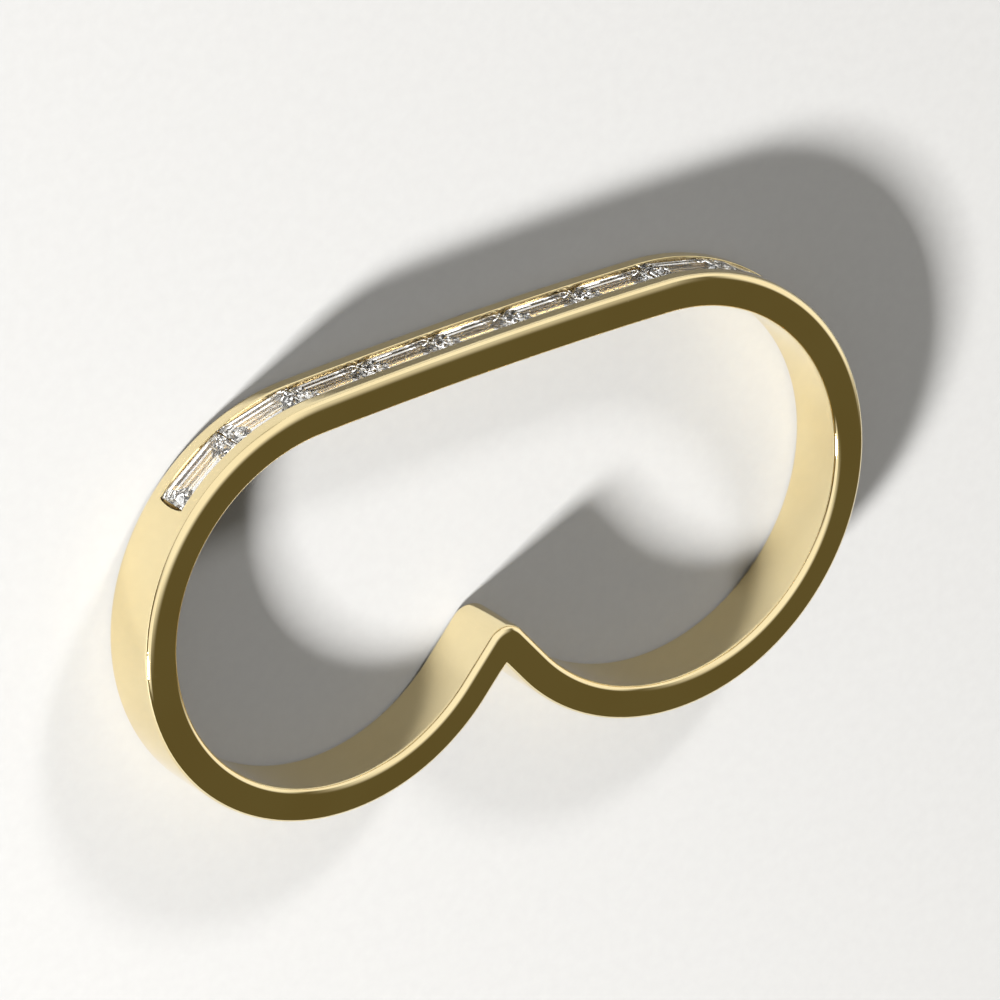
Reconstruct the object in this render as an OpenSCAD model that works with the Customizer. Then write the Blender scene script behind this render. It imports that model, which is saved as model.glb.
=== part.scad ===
// Two-finger ring: a wall of constant thickness round two finger loops, with a dip between the fingers,
// and a row of step-cut baguettes in a channel along the bar that joins the loops.
// The outline is a chain of arcs and two short straight flanks. It is drawn with the loops side by side
// along X and the stone bar towards +Y, then turned so that the bar faces -Y. The ring lies on its side face.

/* [Finger loops] */
// Inside diameter of the smaller finger loop
small_loop_d = 16.9; // [16:0.1:17.5]
// Inside diameter of the larger finger loop
large_loop_d = 17.8; // [17.7:0.1:18.6]
// Distance between the middles of the two loops
loop_spacing = 17.7; // [17.3:0.1:19]

/* [Band] */
// Width of the band along the fingers
band_w = 3.3; // [3:0.1:4.5]
// Thickness of the wall
wall = 1.6; // [1.6:0.05:2]
// Rounding of the outer edges
outer_round = 0.3; // [0.1:0.02:0.36]
// Rounding of the inner edges
inner_round = 0.2; // [0.1:0.02:0.24]
// Radius of the slightly arched bar, on its finger side
arch_r = 240; // [160:10:400]

/* [Dip between the fingers] */
// Radius of the rounded tip that rises between the fingers
tip_r = 1.1; // [1:0.1:1.2]
// Height of that tip above the line that both loops touch below
tip_rise = 6.7; // [6:0.1:7]
// How far the tip lies from half way between the loops, towards the smaller one
tip_shift = 0.1; // [0:0.05:0.3]

/* [Channel] */
// Opening of the channel between its two rails
channel_w = 1.7; // [1.5:0.02:1.8]
// Angle at which the channel stops on the smaller loop, above the line through the loop's middle
small_end_angle = 40; // [36:1:44]
// Angle at which it stops on the larger loop
large_end_angle = 48.5; // [44:0.5:52]
// Depth of a stone's table below the rails
table_depth = 0.1; // [0.1:0.01:0.16]

/* [Baguettes] */
// Gap left between two stones
stone_gap = 0.04; // [0.03:0.01:0.08]
// Height of the crown, above the girdle
crown_h = 0.2; // [0.18:0.01:0.24]
// Height of the girdle's straight edge
girdle_h = 0.06; // [0.04:0.01:0.08]
// Depth of the pavilion, below the girdle
pavilion_h = 0.74; // [0.6:0.02:0.76]

/* [Hidden] */
$fn = 96;

gold = [0.83, 0.71, 0.45];
diamond = [0.88, 0.9, 0.93];

stone_count = 9;
// How far a stone's girdle reaches into the rail on each side
girdle_bite = 0.06;
// Play between a stone's girdle and the groove that it sits in
play = 0.03;
// Half width of the channel at its floor
floor_half_w = 0.45;
// Radius of the channel's slightly bowed end walls
end_bow_r = 3.5;
// How far a cutter runs past the surface that it opens
over = 0.4;
// The wall is made in stretches: the loops, then the bar and the flanks, then the tip. Each later one is
// slimmer all round by a shoulder, too small to see, and runs a little way into its neighbours, so that they
// fuse cleanly
shoulder = 0.005;
overlap = 0.1;
tip_overlap = 0.05;

small_r = small_loop_d / 2;
large_r = large_loop_d / 2;
girdle_depth = table_depth + crown_h;
keel_depth = girdle_depth + girdle_h + pavilion_h;
groove_half_w = channel_w / 2 + girdle_bite + play;
groove_floor = girdle_depth + girdle_h + play;

function dir(a) = [cos(a), sin(a)];
function angle_of(v) = atan2(v[1], v[0]);
// Angle a, raised by whole turns until it is past angle b
function past(a, b) = a > b ? a : past(a + 360, b);
// Where circles round p (radius a) and q (radius b) cross, to the left (side 1) or right (-1) of line p to q
function crossing(p, a, q, b, side) =
    let (d = norm(q - p),
         along = (a * a - b * b + d * d) / (2 * d),
         off = sqrt(a * a - along * along),
         u = (q - p) / d)
    p + along * u + side * off * [-u[1], u[0]];

// The two loops stand on one line, y = 0, with their outer walls
small_mid = [-loop_spacing / 2, small_r + wall];
large_mid = [loop_spacing / 2, large_r + wall];
// The arched bar touches both loops from outside, so its middle lies far below them
arch_mid = crossing(small_mid, arch_r - small_r, large_mid, arch_r - large_r, -1);
arch_from = angle_of(large_mid - arch_mid);
arch_to = angle_of(small_mid - arch_mid);

tip_mid = [-tip_shift, tip_rise - tip_r];
// A flank is the straight line that touches a loop and, on its other side, the tip. These are the
// directions from each loop's middle to the point where its flank leaves it
small_leave = angle_of(tip_mid - small_mid) - acos((small_r + tip_r) / norm(tip_mid - small_mid));
large_leave = past(angle_of(tip_mid - large_mid) + acos((large_r + tip_r) / norm(tip_mid - large_mid)), 0);
function flank_length(loop_mid, loop_r) = sqrt(pow(norm(tip_mid - loop_mid), 2) - pow(loop_r + tip_r, 2));

// Middle of the whole outline, which becomes the origin
outline_mid = [(large_r - small_r) / 2, large_r + wall];

// The girdles follow a path inside the wall: the small loop, then the bar, then the large loop
small_path_r = small_r + wall - girdle_depth;
arch_path_r = arch_r + wall - girdle_depth;
large_path_r = large_r + wall - girdle_depth;
function arc_length(r, turn) = r * turn * PI / 180;
function arc_turn(r, length) = length / r * 180 / PI;
small_start = 180 - small_end_angle;
small_run = arc_length(small_path_r, small_start - arch_to);
arch_run = arc_length(arch_path_r, arch_to - arch_from);
large_run = arc_length(large_path_r, arch_from - large_end_angle);
pitch = (small_run + arch_run + large_run - stone_gap) / stone_count;
stone_l = pitch - stone_gap;
stone_w = channel_w + 2 * girdle_bite;
// A straight stone's ends stand out from the curved path, most on the smaller loop, and the rail's thin lip
// over the groove ends just above them
end_rise = pow(stone_l, 2) / (8 * small_path_r);
lip_depth = girdle_depth - play - end_rise;

// Direction that the wall faces at distance s along the girdle path
function path_angle(s) =
    s < small_run ? small_start - arc_turn(small_path_r, s)
    : s < small_run + arch_run ? arch_to - arc_turn(arch_path_r, s - small_run)
    : arch_from - arc_turn(large_path_r, s - small_run - arch_run);
function path_point(s) =
    s < small_run ? small_mid + small_path_r * dir(path_angle(s))
    : s < small_run + arch_run ? arch_mid + arch_path_r * dir(path_angle(s))
    : large_mid + large_path_r * dir(path_angle(s));

// Step cut, from the table down to the keel: height, then how much shorter and narrower than the girdle
step_cut = [
    [crown_h, 1, 0.8],
    [0.55 * crown_h, 0.42, 0.32],
    [0, 0, 0],
    [-girdle_h, 0, 0],
    [-girdle_h - 0.4 * pavilion_h, 0.6, 0.5],
    [-girdle_h - 0.73 * pavilion_h, 1.26, 1.06],
    [-girdle_h - pavilion_h, 2, stone_w - 0.12]
];

// Section of the wall: x is the distance from the finger side, y runs across the band
module wall_section(slim = 0) {
    half_w = band_w / 2 - slim;
    difference() {
        translate([slim, -half_w]) square([wall - 2 * slim, 2 * half_w]);
        for (side = [-1, 1]) {
            edge_cut([wall - slim, side * half_w], [1, side], outer_round);
            edge_cut([slim, side * half_w], [-1, side], inner_round);
        }
    }
}

// What a rounding of radius r takes off a corner that points outwards along x and y
module edge_cut(corner, out, r) {
    middle = corner - r * out;
    difference() {
        polygon([middle, middle + [2 * r * out[0], 0], middle + 2 * r * out, middle + [0, 2 * r * out[1]]]);
        translate(middle) circle(r);
    }
}

// Section of the channel: the opening between the rails, the girdles' groove, and the seat that narrows
module channel_section(slim = 0) {
    opening = channel_w / 2 - slim;
    groove = groove_half_w - slim;
    seat = floor_half_w - slim;
    lip = wall - lip_depth - slim;
    floor_x = wall - keel_depth - play + slim;
    polygon([
        [wall + over - slim, opening],
        [wall - lip_depth, opening],
        [lip, groove],
        [wall - groove_floor, groove],
        [floor_x, seat],
        [floor_x, -seat],
        [wall - groove_floor, -groove],
        [lip, -groove],
        [wall - lip_depth, -opening],
        [wall + over - slim, -opening]
    ]);
}

// Carries a section round a loop of radius r whose middle is mid, from one direction to another
module sweep(mid, r, from, to) {
    translate(mid) rotate([0, 0, from])
        rotate_extrude(angle = to - from, $fn = 360) translate([r, 0]) children();
}

// Carries a section along the arched bar and a little way into both loops
module sweep_bar() {
    extra = arc_turn(arch_r, overlap);
    sweep(arch_mid, arch_r, arch_from - extra, arch_to + extra) children();
}

// Straight stretch of the wall from inside a loop to the tip; turn is 1 on the small loop, -1 on the large
module flank(loop_mid, loop_r, leave, turn) {
    run = flank_length(loop_mid, loop_r) + overlap;
    translate(loop_mid) rotate([0, 0, leave]) translate([loop_r, -turn * overlap, 0]) rotate([90, 0, 0])
        mirror([0, 0, turn > 0 ? 1 : 0]) linear_extrude(run) wall_section(shoulder);
}

// Metal round the tip's middle, up to its rounded finger side, and a little way into both flanks
module tip() {
    size = 4 * tip_r;
    translate(tip_mid) intersection() {
        rotate_extrude($fn = 360) intersection() {
            translate([tip_r, 0]) mirror([1, 0]) wall_section(2 * shoulder);
            translate([0, -band_w]) square([size, 2 * band_w]);
        }
        rotate([0, 0, small_leave])
            translate([-size / 2, -tip_overlap, -band_w]) cube([size, size, 2 * band_w]);
        rotate([0, 0, large_leave])
            translate([-size / 2, tip_overlap - size, -band_w]) cube([size, size, 2 * band_w]);
    }
}

// Ends the channel with a wall bowed outwards: a slice of a disc that stands on the loop's radius
module channel_end(mid, r, at, turn) {
    bow = end_bow_r - sqrt(pow(end_bow_r, 2) - pow(channel_w / 2, 2));
    depth = keel_depth + play;
    translate(mid) rotate([0, 0, at]) intersection() {
        translate([r + wall - depth, turn * (bow - end_bow_r), 0])
            rotate([0, 90, 0]) cylinder(r = end_bow_r, h = depth + over);
        translate([r + wall - depth, turn > 0 ? -overlap : -bow, -channel_w / 2])
            cube([depth + over, bow + overlap, channel_w]);
    }
}

// Turns the drawn outline into the ring's own frame
module in_place() {
    rotate([0, 0, 180]) translate([-outline_mid[0], -outline_mid[1], band_w / 2]) children();
}

// The whole wall round both loops, before the channel is cut
module ring_wall() {
    sweep(small_mid, small_r, arch_to, small_leave + 360) wall_section();
    sweep(large_mid, large_r, large_leave, arch_from + 360) wall_section();
    sweep_bar() wall_section(shoulder);
    flank(small_mid, small_r, small_leave, 1);
    flank(large_mid, large_r, large_leave, -1);
    tip();
}

// The channel is cut first, and its bowed ends after it
module band() {
    color(gold) in_place() difference() {
        difference() {
            ring_wall();
            sweep(small_mid, small_r, arch_to, small_start) channel_section();
            sweep(large_mid, large_r, large_end_angle, arch_from) channel_section();
            sweep_bar() channel_section(shoulder);
        }
        channel_end(small_mid, small_r, small_start, 1);
        channel_end(large_mid, large_r, large_end_angle, -1);
    }
}

// One stone, with its girdle's upper edge at z = 0 and its table facing +Z
module step_cut_stone() {
    rings = [for (level = step_cut)
        let (x = (stone_l - level[1]) / 2, y = (stone_w - level[2]) / 2)
        [[x, y, level[0]], [-x, y, level[0]], [-x, -y, level[0]], [x, -y, level[0]]]];
    last = len(rings) - 1;
    polyhedron(
        points = [for (ring = rings) each ring],
        faces = concat(
            [[3, 2, 1, 0]],
            [for (k = [0 : last - 1]) for (i = [0 : 3])
                [4 * k + i, 4 * k + (i + 1) % 4, 4 * (k + 1) + (i + 1) % 4, 4 * (k + 1) + i]],
            [[4 * last, 4 * last + 1, 4 * last + 2, 4 * last + 3]]
        )
    );
}

module baguette(number) {
    s = stone_gap + pitch * (number - 1) + stone_l / 2;
    color(diamond) in_place() translate(path_point(s)) rotate([0, 0, path_angle(s) - 90]) rotate([-90, 0, 0])
        step_cut_stone();
}

band();
for (number = [1 : stone_count]) {
    baguette(number);
}
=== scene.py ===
# %% [markdown]
# # A two-finger ring with a channel-set row of baguettes
# The ring is one wall of polished yellow gold that runs round two finger spaces, with a dip between the
# fingers and nine step-cut baguettes in a channel along its top bar. It lies on its side face on a pale
# floor. The construction comes packed as a fixed frame. This script gives it the surfaces that a polisher
# and a stone cutter leave, then the light and the camera.

import bpy
import numpy as np
from mathutils import Matrix, Vector


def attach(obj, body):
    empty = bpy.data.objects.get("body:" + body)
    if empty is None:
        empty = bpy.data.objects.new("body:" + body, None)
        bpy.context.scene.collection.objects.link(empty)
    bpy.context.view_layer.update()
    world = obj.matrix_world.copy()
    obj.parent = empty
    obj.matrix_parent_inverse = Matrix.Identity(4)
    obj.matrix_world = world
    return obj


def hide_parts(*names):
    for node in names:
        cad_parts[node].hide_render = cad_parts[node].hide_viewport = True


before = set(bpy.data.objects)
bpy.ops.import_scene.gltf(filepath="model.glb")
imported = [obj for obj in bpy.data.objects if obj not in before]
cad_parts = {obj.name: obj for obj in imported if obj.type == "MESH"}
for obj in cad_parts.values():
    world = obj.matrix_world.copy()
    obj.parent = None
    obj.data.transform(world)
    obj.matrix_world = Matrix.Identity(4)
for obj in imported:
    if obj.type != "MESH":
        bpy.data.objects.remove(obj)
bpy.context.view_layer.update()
print("pieces in the frame:", ", ".join(sorted(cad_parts)))

# %% [markdown]
# ## Sizes
# A goldsmith would start from two finger sizes, so the loops' inside diameters come first, and then the
# sheet that the wall is bent from. All of these are millimetres, because that is how a ring is measured.
# Blender works in metres, so the last step of every shape is to multiply by MM. The channel's two end
# angles differ: the far end is out of sight in the photograph, and its angle is the one that gives nine
# stones the pitch that the photograph shows.

# %% Driving sizes in millimetres
MM = 0.001
SMALL_R = 16.9 / 2
LARGE_R = 17.8 / 2
LOOP_SPACING = 17.7
BAND_W = 3.3
WALL = 1.6
OUTER_ROUND = 0.3
INNER_ROUND = 0.2
ARCH_R = 240.0
TIP_R = 1.1
TIP_RISE = 6.7
TIP_SHIFT = 0.1
CHANNEL_W = 1.7
SMALL_END_ANGLE = 40.0
LARGE_END_ANGLE = 48.5

small_mid = np.array([(LOOP_SPACING + LARGE_R - SMALL_R) / 2, LARGE_R - SMALL_R])
large_mid = np.array([(LARGE_R - SMALL_R - LOOP_SPACING) / 2, 0.0])
tip_mid = np.array([(LARGE_R - SMALL_R) / 2 + TIP_SHIFT, LARGE_R + WALL - TIP_RISE + TIP_R])
print("loop middles:", small_mid, large_mid, "tip middle:", tip_mid)

# %% [markdown]
# ## The outline as a path
# Seen from above, the finger side of the wall is a chain of arcs and straight flanks that touch each other:
# the tip between the fingers, a flank, the larger loop, the bar, the smaller loop and a flank back to the
# tip. It could be drawn as a curve, but a formula is better here: every surface of the ring is then a
# function of two numbers, the distance along the chain and the distance from the finger side.


# %% Directions and tangent points
def unit(angle):
    """Unit vectors at these angles in radians, in a last axis of two."""
    return np.stack([np.cos(angle), np.sin(angle)], axis=-1)


def angle_of(vector):
    """Angle of a plane vector, from the X axis."""
    return float(np.arctan2(vector[1], vector[0]))


def leave_angle(loop_mid, loop_r, side):
    """Where a flank leaves a loop. The flank touches the loop and, on its other side, the tip, so the
    cosine of the angle between it and the line of the middles is the sum of the radii over the middles'
    distance."""
    reach = tip_mid - loop_mid
    return angle_of(reach) + side * np.arccos((loop_r + TIP_R) / np.linalg.norm(reach))


def flank_length(loop_mid, loop_r):
    """Length of a flank, by the theorem of Pythagoras on the middles' distance and the sum of the radii."""
    return float(np.sqrt(np.sum((tip_mid - loop_mid) ** 2) - (loop_r + TIP_R) ** 2))


def circle_crossing(p, a, q, b):
    """Where circles of radius a round p and radius b round q cross, on the right of the line from p to
    q."""
    d = np.linalg.norm(q - p)
    u = (q - p) / d
    along = (a * a - b * b + d * d) / (2 * d)
    return p + along * u + np.sqrt(a * a - along * along) * np.array([u[1], -u[0]])


arch_mid = circle_crossing(small_mid, ARCH_R - SMALL_R, large_mid, ARCH_R - LARGE_R)
bar_from = angle_of(large_mid - arch_mid)
bar_to = angle_of(small_mid - arch_mid)
small_leave = leave_angle(small_mid, SMALL_R, -1)
large_leave = leave_angle(large_mid, LARGE_R, 1)
tip_turn = small_leave - large_leave
small_flank = flank_length(small_mid, SMALL_R)
large_flank = flank_length(large_mid, LARGE_R)
print("the wall turns at the tip by", round(np.degrees(tip_turn), 1), "degrees")

# %% [markdown]
# The chain has six stretches, and the first is the tip between the fingers. Starting there keeps the whole
# channel inside one run of stations, with no seam in it. In the notch outside the tip the wall is thicker
# than the tip's radius, so surfaces there can't follow an arc: both flanks are cut short where they meet.

# %% Stations along the chain
stretch_lengths = np.array([
    TIP_R * tip_turn,
    large_flank,
    LARGE_R * (bar_from + 2 * np.pi - large_leave),
    ARCH_R * (bar_to - bar_from),
    SMALL_R * (small_leave - bar_to),
    small_flank,
])
stretch_starts = np.concatenate([[0], np.cumsum(stretch_lengths)])
LAP = float(stretch_starts[-1])
print("once round the finger side:", round(LAP, 2), "mm")


def wall_point(station, x):
    """Points of the wall, in millimetres on the plane of the outline. station is the distance along the
    finger side, x the distance from it through the wall. On an arc the point is the middle plus (radius +
    x) in the arc's direction; on a flank it is the tangent point moved out by x and along by the way gone;
    at the tip the radius shrinks by x, and past its middle all points sit where the flanks meet."""
    station, x = np.broadcast_arrays(np.asarray(station, float) % LAP, np.asarray(x, float))
    gone = [station - start for start in stretch_starts[:-1]]
    beyond = np.maximum(x - TIP_R, 0)
    trim = beyond * np.tan(tip_turn / 2)
    column = x[..., None]

    def arc(middle, r, angle):
        return middle + (r + column) * unit(angle)

    def flank(loop_mid, r, angle, way):
        return loop_mid + (r + column) * unit(angle) + way[..., None] * unit(angle + np.pi / 2)

    tip_angle = small_leave - np.pi - gone[0] / TIP_R
    notch = -unit((small_leave + large_leave) / 2 - np.pi)
    points = [
        tip_mid + np.maximum(TIP_R - column, 0) * unit(tip_angle)
        + beyond[..., None] / np.cos(tip_turn / 2) * notch,
        flank(large_mid, LARGE_R, large_leave, (gone[1] / large_flank - 1) * (large_flank - trim)),
        arc(large_mid, LARGE_R, large_leave + gone[2] / LARGE_R),
        arc(arch_mid, ARCH_R, bar_from + gone[3] / ARCH_R),
        arc(small_mid, SMALL_R, bar_to + gone[4] / SMALL_R),
        flank(small_mid, SMALL_R, small_leave, gone[5] / small_flank * (small_flank - trim)),
    ]
    on = [(station >= a) & (station < b) for a, b in zip(stretch_starts[:-1], stretch_starts[1:])]
    return np.select([mask[..., None] for mask in on], points, default=points[0])


# %% [markdown]
# ## The wall's section
# The wall is a strip 3.3 mm wide and 1.6 mm thick. Its corners are rounded, more outside than inside. A
# buff doesn't cut a quarter circle: it blends each corner into its sides, further through the wall than
# across it. So the corners here are superellipses, longer one way than the other, which have no line where
# the rounding starts. Hand polishing also leaves every side very slightly barrelled. That bulge is too
# small to measure, but a mirror finish shows it: without it each side would reflect one single tone. The
# section starts and ends at the burnished edges of the two rails, which the setter rubs down onto the
# stones.

# %% Section of the wall
BARREL_SIDE = 0.02
BARREL_FACE = 0.01
SOFTNESS = 2.3


def barrel(x, z):
    """Barrels the section: each side falls back with the square of the distance from its middle."""
    across = (z / (BAND_W / 2)) ** 2
    through = ((x - WALL / 2) / (WALL / 2)) ** 2
    new_x = x + BARREL_FACE * across * (1 - 2 * x / WALL)
    new_z = z * (1 - BARREL_SIDE * through / (BAND_W / 2))
    return new_x, new_z


def corner(side_x, side_z, along_x, along_z, start, steps=16):
    """Rounded corner of the section at the side of those signs, from that angle on. Both coordinates are
    the reach times the cosine or sine raised to 2 / SOFTNESS, out from the corner's middle."""
    angle = start + np.linspace(0, np.pi / 2, steps + 1)
    c, s = np.cos(angle), np.sin(angle)
    power = 2 / SOFTNESS
    middle_x = WALL - along_x if side_x > 0 else along_x
    middle_z = side_z * (BAND_W / 2 - along_z)
    return np.stack([middle_x + along_x * np.sign(c) * np.abs(c) ** power,
                     middle_z + along_z * np.sign(s) * np.abs(s) ** power], axis=-1)


def eased(a, b, steps):
    """Points from a to b, closer together near both ends, without the ends."""
    share = (1 - np.cos(np.linspace(0, np.pi, steps + 1)[1:-1])) / 2
    return a + share[:, None] * (np.asarray(b) - a)


EDGE_W = 0.1
EDGE_H = 0.05
RAIL_STEPS = 8
SIDE_STEPS = 14
FINGER_STEPS = 18
OUTER_BLEND = (1.8 * OUTER_ROUND, 1.2 * OUTER_ROUND)
INNER_BLEND = (2.0 * INNER_ROUND, 1.6 * INNER_ROUND)
half_w = BAND_W / 2
rim = CHANNEL_W / 2 + EDGE_W
corners = [
    corner(1, 1, *OUTER_BLEND, 0),
    corner(-1, 1, *INNER_BLEND, np.pi / 2),
    corner(-1, -1, *INNER_BLEND, np.pi),
    corner(1, -1, *OUTER_BLEND, 3 * np.pi / 2),
]
rail_top = np.array([[WALL, rim]])
rail_bottom = np.array([[WALL, -rim]])
section = np.concatenate([
    rail_top, eased(rail_top[0], corners[0][0], RAIL_STEPS),
    corners[0], eased(corners[0][-1], corners[1][0], SIDE_STEPS),
    corners[1], eased(corners[1][-1], corners[2][0], FINGER_STEPS),
    corners[2], eased(corners[2][-1], corners[3][0], SIDE_STEPS),
    corners[3], eased(corners[3][-1], rail_bottom[0], RAIL_STEPS), rail_bottom,
])
print("section points:", len(section))

# %% [markdown]
# ## Grids that become meshes
# Every surface below is a grid of points. Two small helpers turn grids into one mesh: the first joins
# neighbouring points with quads, the second puts all grids into one object, welds the seams and marks the
# creases. The mesh also carries how deep each point lies in the wall, because down in the channel the metal
# is rougher and its colour carries painted shade.

# %% Mesh helpers
WELD = 1e-4


def placed(station, x, z):
    """Points of the ring's frame in metres, from a station, a depth x through the wall and a height z from
    the section's middle."""
    x, z = barrel(x, z)
    plane = wall_point(station, x)
    height = np.broadcast_to(z, plane.shape[:-1]) + half_w
    return np.concatenate([plane, height[..., None]], axis=-1) * MM


def grid_quads(rows, columns, closed=False):
    """Corner numbers of the quads of a grid, row by row. closed joins the last row to the first."""
    number = np.arange(rows * columns).reshape(rows, columns)
    if closed:
        number = np.concatenate([number, number[:1]])
    quad = [number[:-1, :-1], number[1:, :-1], number[1:, 1:], number[:-1, 1:]]
    return np.stack(quad, axis=-1).reshape(-1, 4)


def mesh_piece(name, grids, crease=30.0):
    """One object from several grids of points. A grid is (points, closed, depth), where depth says how far
    each row or point lies below the outer face, in millimetres. Points that round to the same multiple of
    WELD are welded, a quad that loses a corner becomes a triangle, and edges that turn by more than the
    crease angle stay sharp."""
    points, faces, depths, count = [], [], [], 0
    for grid, closed, depth in grids:
        faces.append(grid_quads(grid.shape[0], grid.shape[1], closed) + count)
        points.append(grid.reshape(-1, 3))
        depths.append(np.broadcast_to(depth, grid.shape[:2]).reshape(-1))
        count += points[-1].shape[0]
    points, faces, depths = np.concatenate(points), np.concatenate(faces), np.concatenate(depths)
    cells = np.round(points / (WELD * MM))
    first, welded = np.unique(cells, axis=0, return_index=True, return_inverse=True)[1:]
    faces = welded.reshape(-1)[faces]
    kept = faces != np.roll(faces, 1, axis=1)
    corner_counts = kept.sum(axis=1)
    folded = (faces[:, 0] == faces[:, 2]) | (faces[:, 1] == faces[:, 3])
    whole = (corner_counts > 2) & ~folded
    corner_counts = corner_counts[whole]
    corner_numbers = faces[whole][kept[whole]]
    mesh = bpy.data.meshes.new(name)
    mesh.vertices.add(len(first))
    mesh.vertices.foreach_set("co", points[first].reshape(-1))
    mesh.loops.add(len(corner_numbers))
    mesh.loops.foreach_set("vertex_index", corner_numbers.astype(np.int32))
    mesh.polygons.add(len(corner_counts))
    mesh.polygons.foreach_set("loop_start", (np.cumsum(corner_counts) - corner_counts).astype(np.int32))
    mesh.polygons.foreach_set("use_smooth", np.ones(len(corner_counts), bool))
    mesh.attributes.new("depth", "FLOAT", "POINT").data.foreach_set("value", depths[first].astype(np.float32))
    mesh.update(calc_edges=True)
    mesh.set_sharp_from_angle(angle=np.radians(crease))
    mesh.validate()
    piece = bpy.data.objects.new(name, mesh)
    bpy.context.scene.collection.objects.link(piece)
    print(name, "has", len(mesh.vertices), "points and", len(mesh.polygons), "faces")
    return piece


# %% [markdown]
# ## The band
# The real band is one casting. Its channel is milled into the bar and round both shoulders, and ends in two
# slightly bowed walls. One sweep of the section makes everything but the strip between the rails. Outside
# the channel that strip is plain metal, and inside it the strip becomes a trough. Rows of points run across
# the wall at fixed stations, so that all three surfaces share them and the mesh closes without a gap. They
# stand closest at the tip, where the wall bends most, and further apart along the straight bar.

# %% Rows across the wall
channel_start = stretch_starts[2] + LARGE_R * (np.radians(180 + LARGE_END_ANGLE) - large_leave)
channel_end = stretch_starts[4] + SMALL_R * (np.radians(-SMALL_END_ANGLE) - bar_to)
NEAR = 1e-9
row_steps = [0.06, 0.2, 0.17, 0.3, 0.17, 0.2]
marks = np.sort(np.concatenate([stretch_starts, [channel_start - EDGE_W, channel_end + EDGE_W]]))


def row_step(station):
    """How far apart rows may be at a station, in millimetres."""
    return row_steps[int(np.searchsorted(stretch_starts, station, side="right")) - 1]


rows = np.concatenate([
    np.linspace(a, b, int(np.ceil((b - a) / row_step((a + b) / 2))) + 1)[:-1]
    for a, b in zip(marks[:-1], marks[1:])
])
in_channel = (rows > channel_start - EDGE_W - NEAR) & (rows < channel_end + EDGE_W + NEAR)
channel_rows = rows[in_channel]
print("rows:", len(rows), "of which in the channel:", len(channel_rows))

# %% The swept body and the plain strip
END_BOW_R = 3.5
BOW_FADE = 1.2
ACROSS = 13


def bow(z):
    """How far a bowed end wall lies past its own corners, at height z: the sagitta of a circle."""
    edge = np.sqrt(END_BOW_R**2 - (CHANNEL_W / 2) ** 2)
    return np.sqrt(END_BOW_R**2 - np.minimum(np.abs(z), CHANNEL_W / 2) ** 2) - edge


body = placed(rows[:, None], section[None, :, 0], section[None, :, 1])
first_plain = int(np.nonzero(in_channel)[0][-1])
last_plain = int(np.nonzero(in_channel)[0][0])
plain_rows = np.concatenate([rows[first_plain:], rows[:last_plain + 1] + LAP])
strip_z = np.linspace(-rim, rim, ACROSS)[None, :]
from_end = np.maximum(1 - (plain_rows - plain_rows[0]) / BOW_FADE, 0)[:, None]
to_start = np.maximum(1 - (plain_rows[-1] - plain_rows) / BOW_FADE, 0)[:, None]
strip_stations = plain_rows[:, None] + bow(strip_z) * (from_end - to_start)
strip = placed(strip_stations, np.full_like(strip_z, WALL), strip_z)

# %% [markdown]
# The trough is a bath of rings, one below the other. Each ring goes along one rail, across one end, back
# along the other rail and across the other end. From the rim down the rings first turn over a tiny
# burnished edge, then drop down the lip, step back into the groove that holds the girdles, and narrow along
# the seat to the floor. The lip is a little thinner than in the construction, so that the ends of straight
# stones on the bends stay clear of it.

# %% The trough
LIP_DEPTH = 0.088
GROOVE_HALF_W = 0.94
GROOVE_DEPTH = 0.39
SEAT_HALF_W = 0.45
SEAT_DEPTH = 1.13
EDGE_RINGS = 9
edge_turn = np.linspace(0, np.pi / 2, EDGE_RINGS)
trough_rings = np.concatenate([
    np.stack([rim - EDGE_W * np.sin(edge_turn), EDGE_W * (1 - np.sin(edge_turn)),
              EDGE_H * (1 - np.cos(edge_turn))], axis=-1),
    [
        [CHANNEL_W / 2, 0, LIP_DEPTH],
        [GROOVE_HALF_W, 0, LIP_DEPTH],
        [GROOVE_HALF_W, 0, GROOVE_DEPTH],
        [SEAT_HALF_W, 0, SEAT_DEPTH],
        [0, 0, SEAT_DEPTH],
    ],
])
across = np.linspace(1, -1, ACROSS)[1:-1]
inner_rows = channel_rows[1:-1]
ring_share = np.concatenate([np.ones(len(inner_rows) + 2), across, -np.ones(len(inner_rows) + 2), -across])
half_w_of, reach_of, depth_of = (trough_rings[:, k][:, None] for k in range(3))
ring_z = half_w_of * ring_share[None, :]


def ring_station(z, reach):
    """Stations of one ring's points: up the channel, across its end, back, and across its start."""
    low = channel_start - reach - bow(z)
    high = channel_end + reach + bow(z)
    n = len(inner_rows)
    inner = np.broadcast_to(inner_rows, (len(z), n))
    m = len(across)
    return np.concatenate([
        low[:, :1], inner, high[:, n + 1:n + 2],
        high[:, n + 2:n + 2 + m],
        high[:, n + 2 + m:n + 3 + m], inner[:, ::-1], low[:, 2 * n + 3 + m:2 * n + 4 + m],
        low[:, 2 * n + 4 + m:],
    ], axis=1)


trough = placed(ring_station(ring_z, reach_of), WALL - depth_of, ring_z)
trough = np.concatenate([trough, trough[:, :1]], axis=1)

# %% The band as one piece
band = mesh_piece("gold_band", [(body, True, 0.0), (strip, False, 0.0), (trough, False, depth_of)])
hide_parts("band")
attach(band, "root")

# %% [markdown]
# ## Shader maths
# A material's pattern is arithmetic on sockets. The class below wraps one socket, and its operators add the
# Math nodes, so that a pattern reads as a formula.


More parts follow.
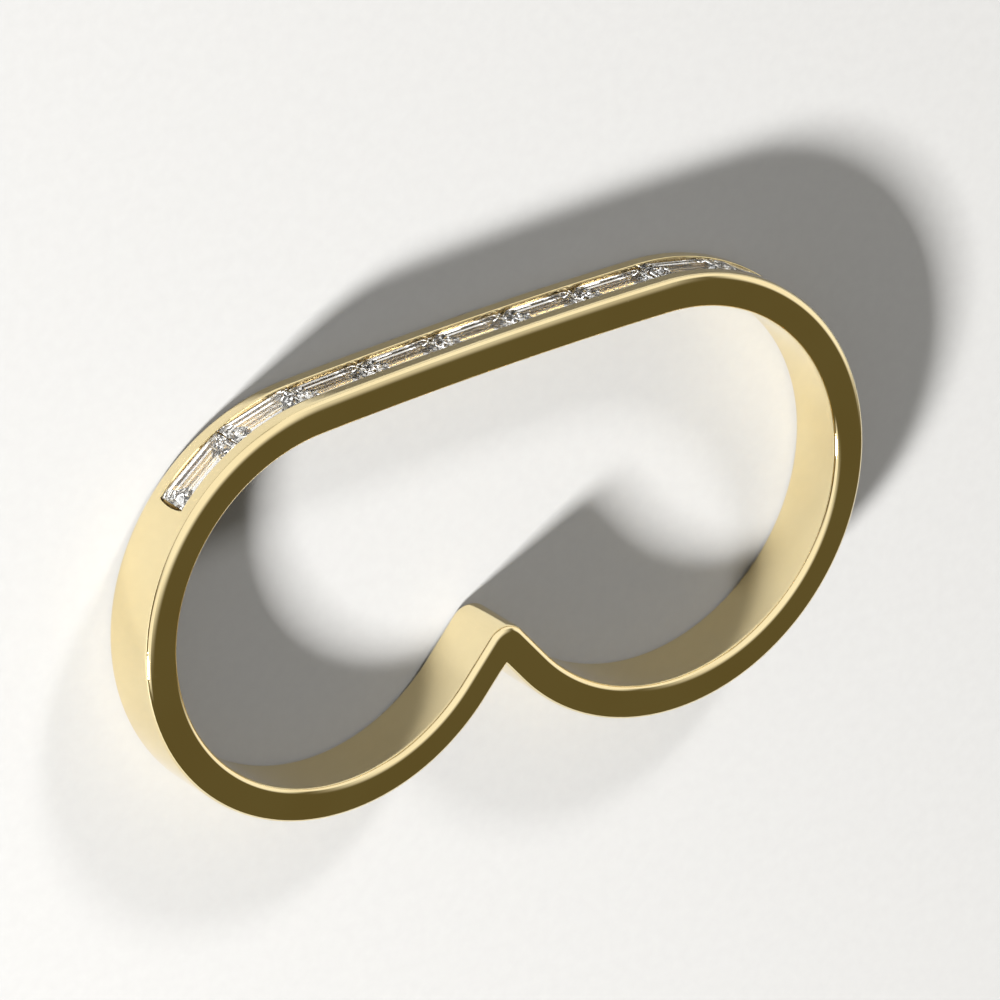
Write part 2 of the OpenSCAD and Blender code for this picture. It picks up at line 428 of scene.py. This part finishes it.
# %% A small language for sockets
class Wire:
    """A socket that can be added, multiplied and compared like a number."""

    def __init__(self, tree, socket):
        self.tree, self.socket = tree, socket

    def node(self, kind, settings=None, inputs=None, output=0):
        """Adds a node: its settings come first, then the values or links of its sockets."""
        made = self.tree.nodes.new(kind)
        for name, value in (settings or {}).items():
            setattr(made, name, value)
        for key, value in (inputs or {}).items():
            if isinstance(value, Wire):
                self.tree.links.new(value.socket, made.inputs[key])
            else:
                made.inputs[key].default_value = value
        return Wire(self.tree, made.outputs[output])

    def math(self, operation, *values):
        """A Math node of that operation on these values."""
        return self.node("ShaderNodeMath", {"operation": operation}, dict(enumerate(values)))

    def __add__(self, other):
        return self.math("ADD", self, other)

    def __radd__(self, other):
        return self.math("ADD", other, self)

    def __sub__(self, other):
        return self.math("SUBTRACT", self, other)

    def __rsub__(self, other):
        return self.math("SUBTRACT", other, self)

    def __mul__(self, other):
        return self.math("MULTIPLY", self, other)

    def __rmul__(self, other):
        return self.math("MULTIPLY", other, self)

    def above(self, low, high):
        """Rises from 0 at low to 1 at high, smoothly."""
        return self.node("ShaderNodeMapRange", {"interpolation_type": "SMOOTHSTEP"},
                         {"Value": self, "From Min": low, "From Max": high})

    def noise(self, scale, detail=2.0, roughness=0.5, distortion=0.0):
        """Noise of that scale on this vector."""
        return self.node("ShaderNodeTexNoise", {},
                         {"Vector": self, "Scale": scale, "Detail": detail, "Roughness": roughness,
                          "Distortion": distortion})

    def blend(self, low, high):
        """A colour between two, where this is the share of the second."""
        return self.node("ShaderNodeMix", {"data_type": "RGBA"}, {"Factor": self, 6: low, 7: high}, output=2)


def new_material(name, **constants):
    """A material with one Principled shader and its constants. Returns it, the shader and object
    coordinates."""
    made = bpy.data.materials.new(name)
    made.use_nodes = True
    tree = made.node_tree
    shader = tree.nodes["Principled BSDF"]
    for key, value in constants.items():
        shader.inputs[key.replace("_", " ")].default_value = value
    start = Wire(tree, None)
    return made, shader, start.node("ShaderNodeTexCoord", output="Object")


def plug(shader, **wires):
    """Links wires to the shader's sockets by name."""
    for key, wire in wires.items():
        wire.tree.links.new(wire.socket, shader.inputs[key.replace("_", " ")])


# %% [markdown]
# ## Polished gold
# Yellow gold of 14 karat is paler than pure gold. After the last buff it is a mirror, and what makes it look
# like metal and not like paint is what the buff leaves: slow waves from the wheel, a haze of hair-fine lines
# along the wall, and a few specks of dust. All of it is far below a millimetre, so it is bump and roughness,
# not shape. No buff reaches into the channel. The metal under the stones stays as the cutter left it and is
# rougher there, and its colour is painted darker as the seat's shade, which a clear stone shows.

# %% Gold
gold, gold_shader, spot = new_material("polished_gold", Metallic=1.0)
waves = spot.noise(260, 1.5)
haze = spot.noise(2600, 3.0, 0.6)
specks = spot.noise(5200, 1.0).above(0.72, 0.78)
tone = waves.above(0.3, 0.7)
polished = tone.blend((0.885, 0.74, 0.43, 1), (0.915, 0.778, 0.47, 1))
# Painted shade: down in the channel the gold's base colour is darkened as shade in the seat; only the higher
# roughness there is the real cast metal.
SEAT_SHADE_AND_CAST_FROM = 0.06
SEAT_SHADE_AND_CAST_TO = 0.3
depth_below = spot.node("ShaderNodeAttribute", {"attribute_name": "depth"}, output="Fac")
seat_cast_and_shade_mask = depth_below.above(SEAT_SHADE_AND_CAST_FROM, SEAT_SHADE_AND_CAST_TO)
cast_skin_and_painted_shade = haze.above(0.3, 0.7).blend((0.36, 0.25, 0.1, 1), (0.46, 0.33, 0.14, 1))
plug(gold_shader,
     Base_Color=seat_cast_and_shade_mask.blend(polished, cast_skin_and_painted_shade),
     Roughness=0.03 + haze.above(0.35, 0.8) * 0.05 + specks * 0.12 + seat_cast_and_shade_mask * 0.2)
relief = waves * 0.6 + haze * 0.02 + specks * 0.05
bump = relief.node("ShaderNodeBump", {}, {"Strength": 0.25, "Distance": 0.00002, "Height": relief})
plug(gold_shader, Normal=bump)
band.data.materials.append(gold)

# %% [markdown]
# ## Diamond
# A baguette shows long, calm facets along its sides and broken light at its ends. That comes from
# refraction alone: diamond bends light more than any other clear stone, and its lower facets throw the
# light back up. The cut is in the construction already, so the stones keep their own faces and get clear
# diamond, with the faintest warm and cold tints.

# %% Diamond
DIAMOND_IOR = 2.417
diamond, diamond_shader, spot = new_material(
    "clear_diamond", Roughness=0.0, IOR=DIAMOND_IOR, Transmission_Weight=1.0)
tint = spot.noise(420, 2.0)
plug(diamond_shader, Base_Color=tint.above(0.35, 0.65).blend((1.0, 0.985, 0.955, 1), (0.965, 0.98, 1.0, 1)))
stones = sorted(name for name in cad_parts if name.startswith("baguette"))
for name in stones:
    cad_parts[name].data.materials.clear()
    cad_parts[name].data.materials.append(diamond)
print("stones:", len(stones))

# %% [markdown]
# ## Floor
# The floor is a plain pale card. It is far wider than the ring, so that the polished side walls have
# something calm to mirror, and it has the faint tooth of matt paper.

# %% Floor
FLOOR_HALF = 1.5
floor_mesh = bpy.data.meshes.new("floor")
floor_mesh.from_pydata([(-FLOOR_HALF, -FLOOR_HALF, 0), (FLOOR_HALF, -FLOOR_HALF, 0),
                        (FLOOR_HALF, FLOOR_HALF, 0), (-FLOOR_HALF, FLOOR_HALF, 0)], [], [(0, 1, 2, 3)])
floor = bpy.data.objects.new("floor", floor_mesh)
bpy.context.scene.collection.objects.link(floor)
card, card_shader, spot = new_material("pale_card", Roughness=0.9, Specular_IOR_Level=0.2)
tooth = spot.noise(1800, 4.0, 0.6)
plug(card_shader, Base_Color=tooth.blend((0.133, 0.132, 0.129, 1), (0.147, 0.146, 0.143, 1)))
floor_mesh.materials.append(card)

# %% [markdown]
# ## Light
# A mirror shows a lamp itself, and not only its light, so polished metal needs its lamps kept apart. One
# small key rakes over the floor from behind the smaller loop. Only a third of it is a box that the metal
# can mirror: the rest comes as through a cloth, which lights the floor and leaves no hot streaks. A weak
# second light from the bar's side opens the shadows. The last box lights the stones alone and brightens
# their ends. CARD is the mean reflectance of the floor's card, which turns a
# wanted floor brightness into a lamp's radiance.

# %% Lights
KEY_SIZE = 0.08
BOX_DISTANCE = 0.6
CARD = 0.14
KEY_AT = (28, 22)
FILL_AT = (-122, 26)
STONES_AT = (-80, 38)


def towards(azimuth, elevation):
    """Unit vector to a place in the studio, from its two angles in degrees."""
    a, e = np.radians([azimuth, elevation])
    return Vector((np.cos(a) * np.cos(e), np.sin(a) * np.cos(e), np.sin(e)))


def soft_box(name, azimuth, elevation, size, radiance, distance=BOX_DISTANCE):
    """A square area light that faces the ring. Its power is its radiance times pi times its area."""
    lamp = bpy.data.lights.new(name, "AREA")
    lamp.size = size
    lamp.energy = radiance * np.pi * size**2
    box = bpy.data.objects.new(name, lamp)
    place = towards(azimuth, elevation)
    facing = place.to_track_quat("Z", "Y").to_matrix().to_4x4()
    box.matrix_world = Matrix.Translation(place * distance) @ facing
    box.visible_camera = False
    bpy.context.scene.collection.objects.link(box)
    print(name, "radiance", round(radiance, 1))
    return box


def radiance_for(floor_share, elevation, size=KEY_SIZE, distance=BOX_DISTANCE):
    """Radiance of a box that adds this share to the floor: share x pi over the card's reflectance, the
    box's solid angle and the sine of its elevation."""
    return floor_share * np.pi / (CARD * size**2 / distance**2 * np.sin(np.radians(elevation)))


soft_box("key", *KEY_AT, KEY_SIZE, radiance_for(0.2, KEY_AT[1]))
key_cloth = soft_box("key_through_cloth", *KEY_AT, KEY_SIZE, radiance_for(0.47, KEY_AT[1]))
fill_cloth = soft_box("fill_through_cloth", *FILL_AT, KEY_SIZE, radiance_for(0.13, FILL_AT[1]))
key_cloth.visible_glossy = fill_cloth.visible_glossy = False
stone_box = soft_box("stone_box", *STONES_AT, 0.6, 2.6)
stone_box.visible_diffuse = stone_box.visible_glossy = False

# %% [markdown]
# The dim parts of the studio and its four wide boxes are the world itself: its brightness is a smooth
# function of direction. The widest box stands over the bar, and the smaller ones stand low beside the
# loops. Each fades out towards its rim, so a rounded edge runs from cream to olive without a line. The dim
# part is a dull yellow, which gives the metal its olive tone.

# %% The studio as a function of direction
world = bpy.data.worlds.new("studio")
bpy.context.scene.world = world
world.use_nodes = True
sky = Wire(world.node_tree, None)
direction = sky.node("ShaderNodeTexCoord", output="Generated")


def lobe(azimuth, elevation, inner, outer, peak):
    """A round soft box: full inside the inner angle from its middle, nothing outside the outer one, in
    degrees."""
    middle = tuple(towards(azimuth, elevation))
    cosine = direction.node("ShaderNodeVectorMath", {"operation": "DOT_PRODUCT"},
                            {0: direction, 1: middle}, "Value")
    return cosine.above(float(np.cos(np.radians(outer))), float(np.cos(np.radians(inner)))) * peak


STUDIO_BOXES = [
    (-60, 50, 15, 65, 1.15),
    (20, 38, 6, 24, 1.4),
    (-122, 8, 12, 34, 1.3),
    (-172, 14, 12, 32, 1.3),
]
BRIGHTEST = 1.3
DIM_ROOM = (0.12, 0.1, 0.043, 1)
WHITE_CLOTH = (1.1, 1.08, 1.03, 1)
boxes = sum((lobe(*row) for row in STUDIO_BOXES[1:]), lobe(*STUDIO_BOXES[0]))
share = boxes.math("MINIMUM", boxes, BRIGHTEST)
background = world.node_tree.nodes["Background"]
world.node_tree.links.new(share.blend(DIM_ROOM, WHITE_CLOTH).socket, background.inputs["Color"])

bpy.context.scene.view_settings.view_transform = "Standard"
paths = bpy.context.scene.cycles
paths.max_bounces, paths.glossy_bounces, paths.transmission_bounces = 24, 16, 24

# %% [markdown]
# ## Camera
# The camera looks at the ring from the photograph's side: from above the bar's shoulder, through a long
# lens that flattens the ring as the picture does. Its roll is the picture's roll, so the bar rises to the
# right.

# %% Camera
VIEW_FROM = Vector((0.269485, -0.221856, 0.396808))
VIEW_RIGHT = Vector((-0.822688, 0.011571, 0.568375))
VIEW_UP = Vector((-0.246367, -0.908287, -0.338110))
VIEW_BACK = Vector((0.512335, -0.418188, 0.750087))
LENS = 432
camera_data = bpy.data.cameras.new("camera")
camera_data.lens = LENS
camera_data.clip_start = 0.01
camera = bpy.data.objects.new("camera", camera_data)
turn = Matrix((VIEW_RIGHT, VIEW_UP, VIEW_BACK)).transposed().to_4x4()
camera.matrix_world = Matrix.Translation(VIEW_FROM) @ turn
bpy.context.scene.collection.objects.link(camera)
bpy.context.scene.camera = camera
